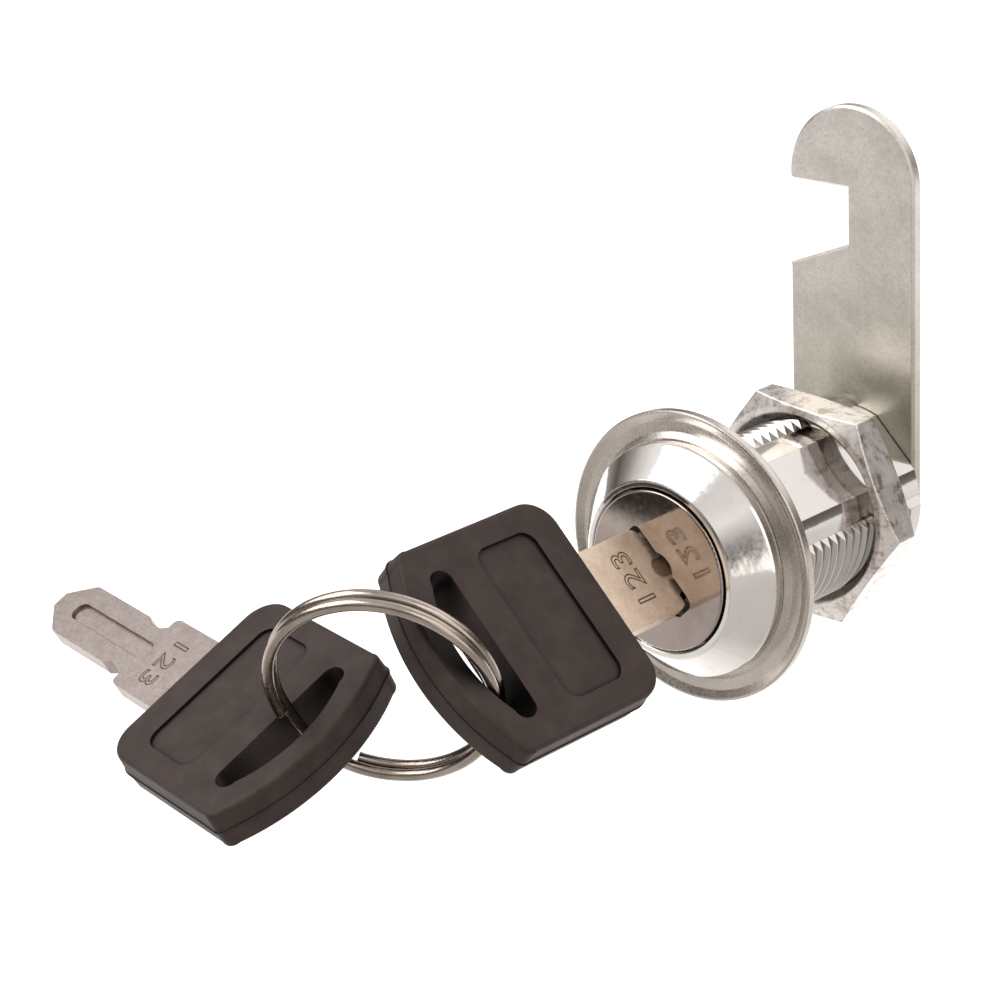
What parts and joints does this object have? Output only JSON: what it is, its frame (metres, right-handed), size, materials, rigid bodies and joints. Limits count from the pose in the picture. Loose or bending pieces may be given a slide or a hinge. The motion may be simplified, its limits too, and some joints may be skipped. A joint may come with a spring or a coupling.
{
  "type": "cam lock",
  "caption": "Keyed cam lock with a chrome head, threaded double-D barrel, fixing nut, hook cam and a ring of keys, one of them in the slot",
  "frame": {"origin": "on the lock's axis, in the plane of the door's front face, where the trim ring's back rests", "axes": "+Y into the door along the lock's axis, +Z the way the cam points when locked, +X to the right seen from the key side"},
  "size_m": [0.0735, 0.0843, 0.0574],
  "materials": {
    "chrome": "bright chrome plate",
    "satin_nickel": "satin nickel plate",
    "zinc": "zinc plate",
    "brass": "punched",
    "spring_steel": "bright nickel plate",
    "key_nickel": "fine ground nickel plate",
    "black_plastic": "fine moulded texture"
  },
  "bodies": {
    "lock_body": {"housing": "chrome", "trim_ring": "satin_nickel"},
    "nut": {"mounting_nut": "zinc"},
    "plug_group": {"plug": "chrome", "plug_cap": "chrome", "wafer_spring_1": "spring_steel", "wafer_spring_2": "spring_steel", "wafer_spring_3": "spring_steel", "wafer_spring_4": "spring_steel", "wafer_spring_5": "spring_steel", "retaining_wafer": "brass", "retaining_spring": "spring_steel", "stop_plate": "zinc", "hook_cam": "zinc", "cam_washer": "zinc", "cam_screw": "zinc"},
    "upper_wafers": {"wafer_1": "brass", "wafer_3": "brass", "wafer_5": "brass"},
    "lower_wafers": {"wafer_2": "brass", "wafer_4": "brass"},
    "key_1": {"key_1_blade": "key_nickel", "key_1_bow": "black_plastic"},
    "ring": {"split_ring": "spring_steel"},
    "key_2": {"key_2_blade": "key_nickel", "key_2_bow": "black_plastic"}
  },
  "joints": [
    {"name": "nut_run", "type": "slide", "parent": "lock_body", "child": "nut", "axis": [0, 1, 0], "range_m": [-0.0145, 0.0014]},
    {"name": "plug_turn", "type": "hinge", "parent": "lock_body", "child": "plug_group", "pos_m": [0, 0, 0], "axis": [0, 1, 0], "range_deg": [0, 90]},
    {"name": "key_slide", "type": "slide", "parent": "plug_group", "child": "key_1", "axis": [0, -1, 0], "range_m": [0, 0.026]},
    {"name": "upper_wafers_drop", "type": "slide", "parent": "plug_group", "child": "upper_wafers", "axis": [0.7071, 0, -0.7071], "range_m": [0, 0.0006]},
    {"name": "lower_wafers_drop", "type": "slide", "parent": "plug_group", "child": "lower_wafers", "axis": [-0.7071, 0, 0.7071], "range_m": [0, 0.0006]},
    {"name": "ring_swing", "type": "hinge", "parent": "key_1", "child": "ring", "pos_m": [-0.00071, -0.0379, -0.00071], "axis": [-0.7071, 0, 0.7071], "range_deg": [0, 50]},
    {"name": "key_2_swing", "type": "hinge", "parent": "ring", "child": "key_2", "pos_m": [-0.00566, -0.03872, -0.00252], "axis": [0.4728, -0.8122, -0.3417], "range_deg": [-60, 60]}
  ],
  "couplings": [
    {"joint": "upper_wafers_drop", "follows": "key_slide", "ratio": 0.019},
    {"joint": "lower_wafers_drop", "follows": "key_slide", "ratio": 0.019}
  ]
}
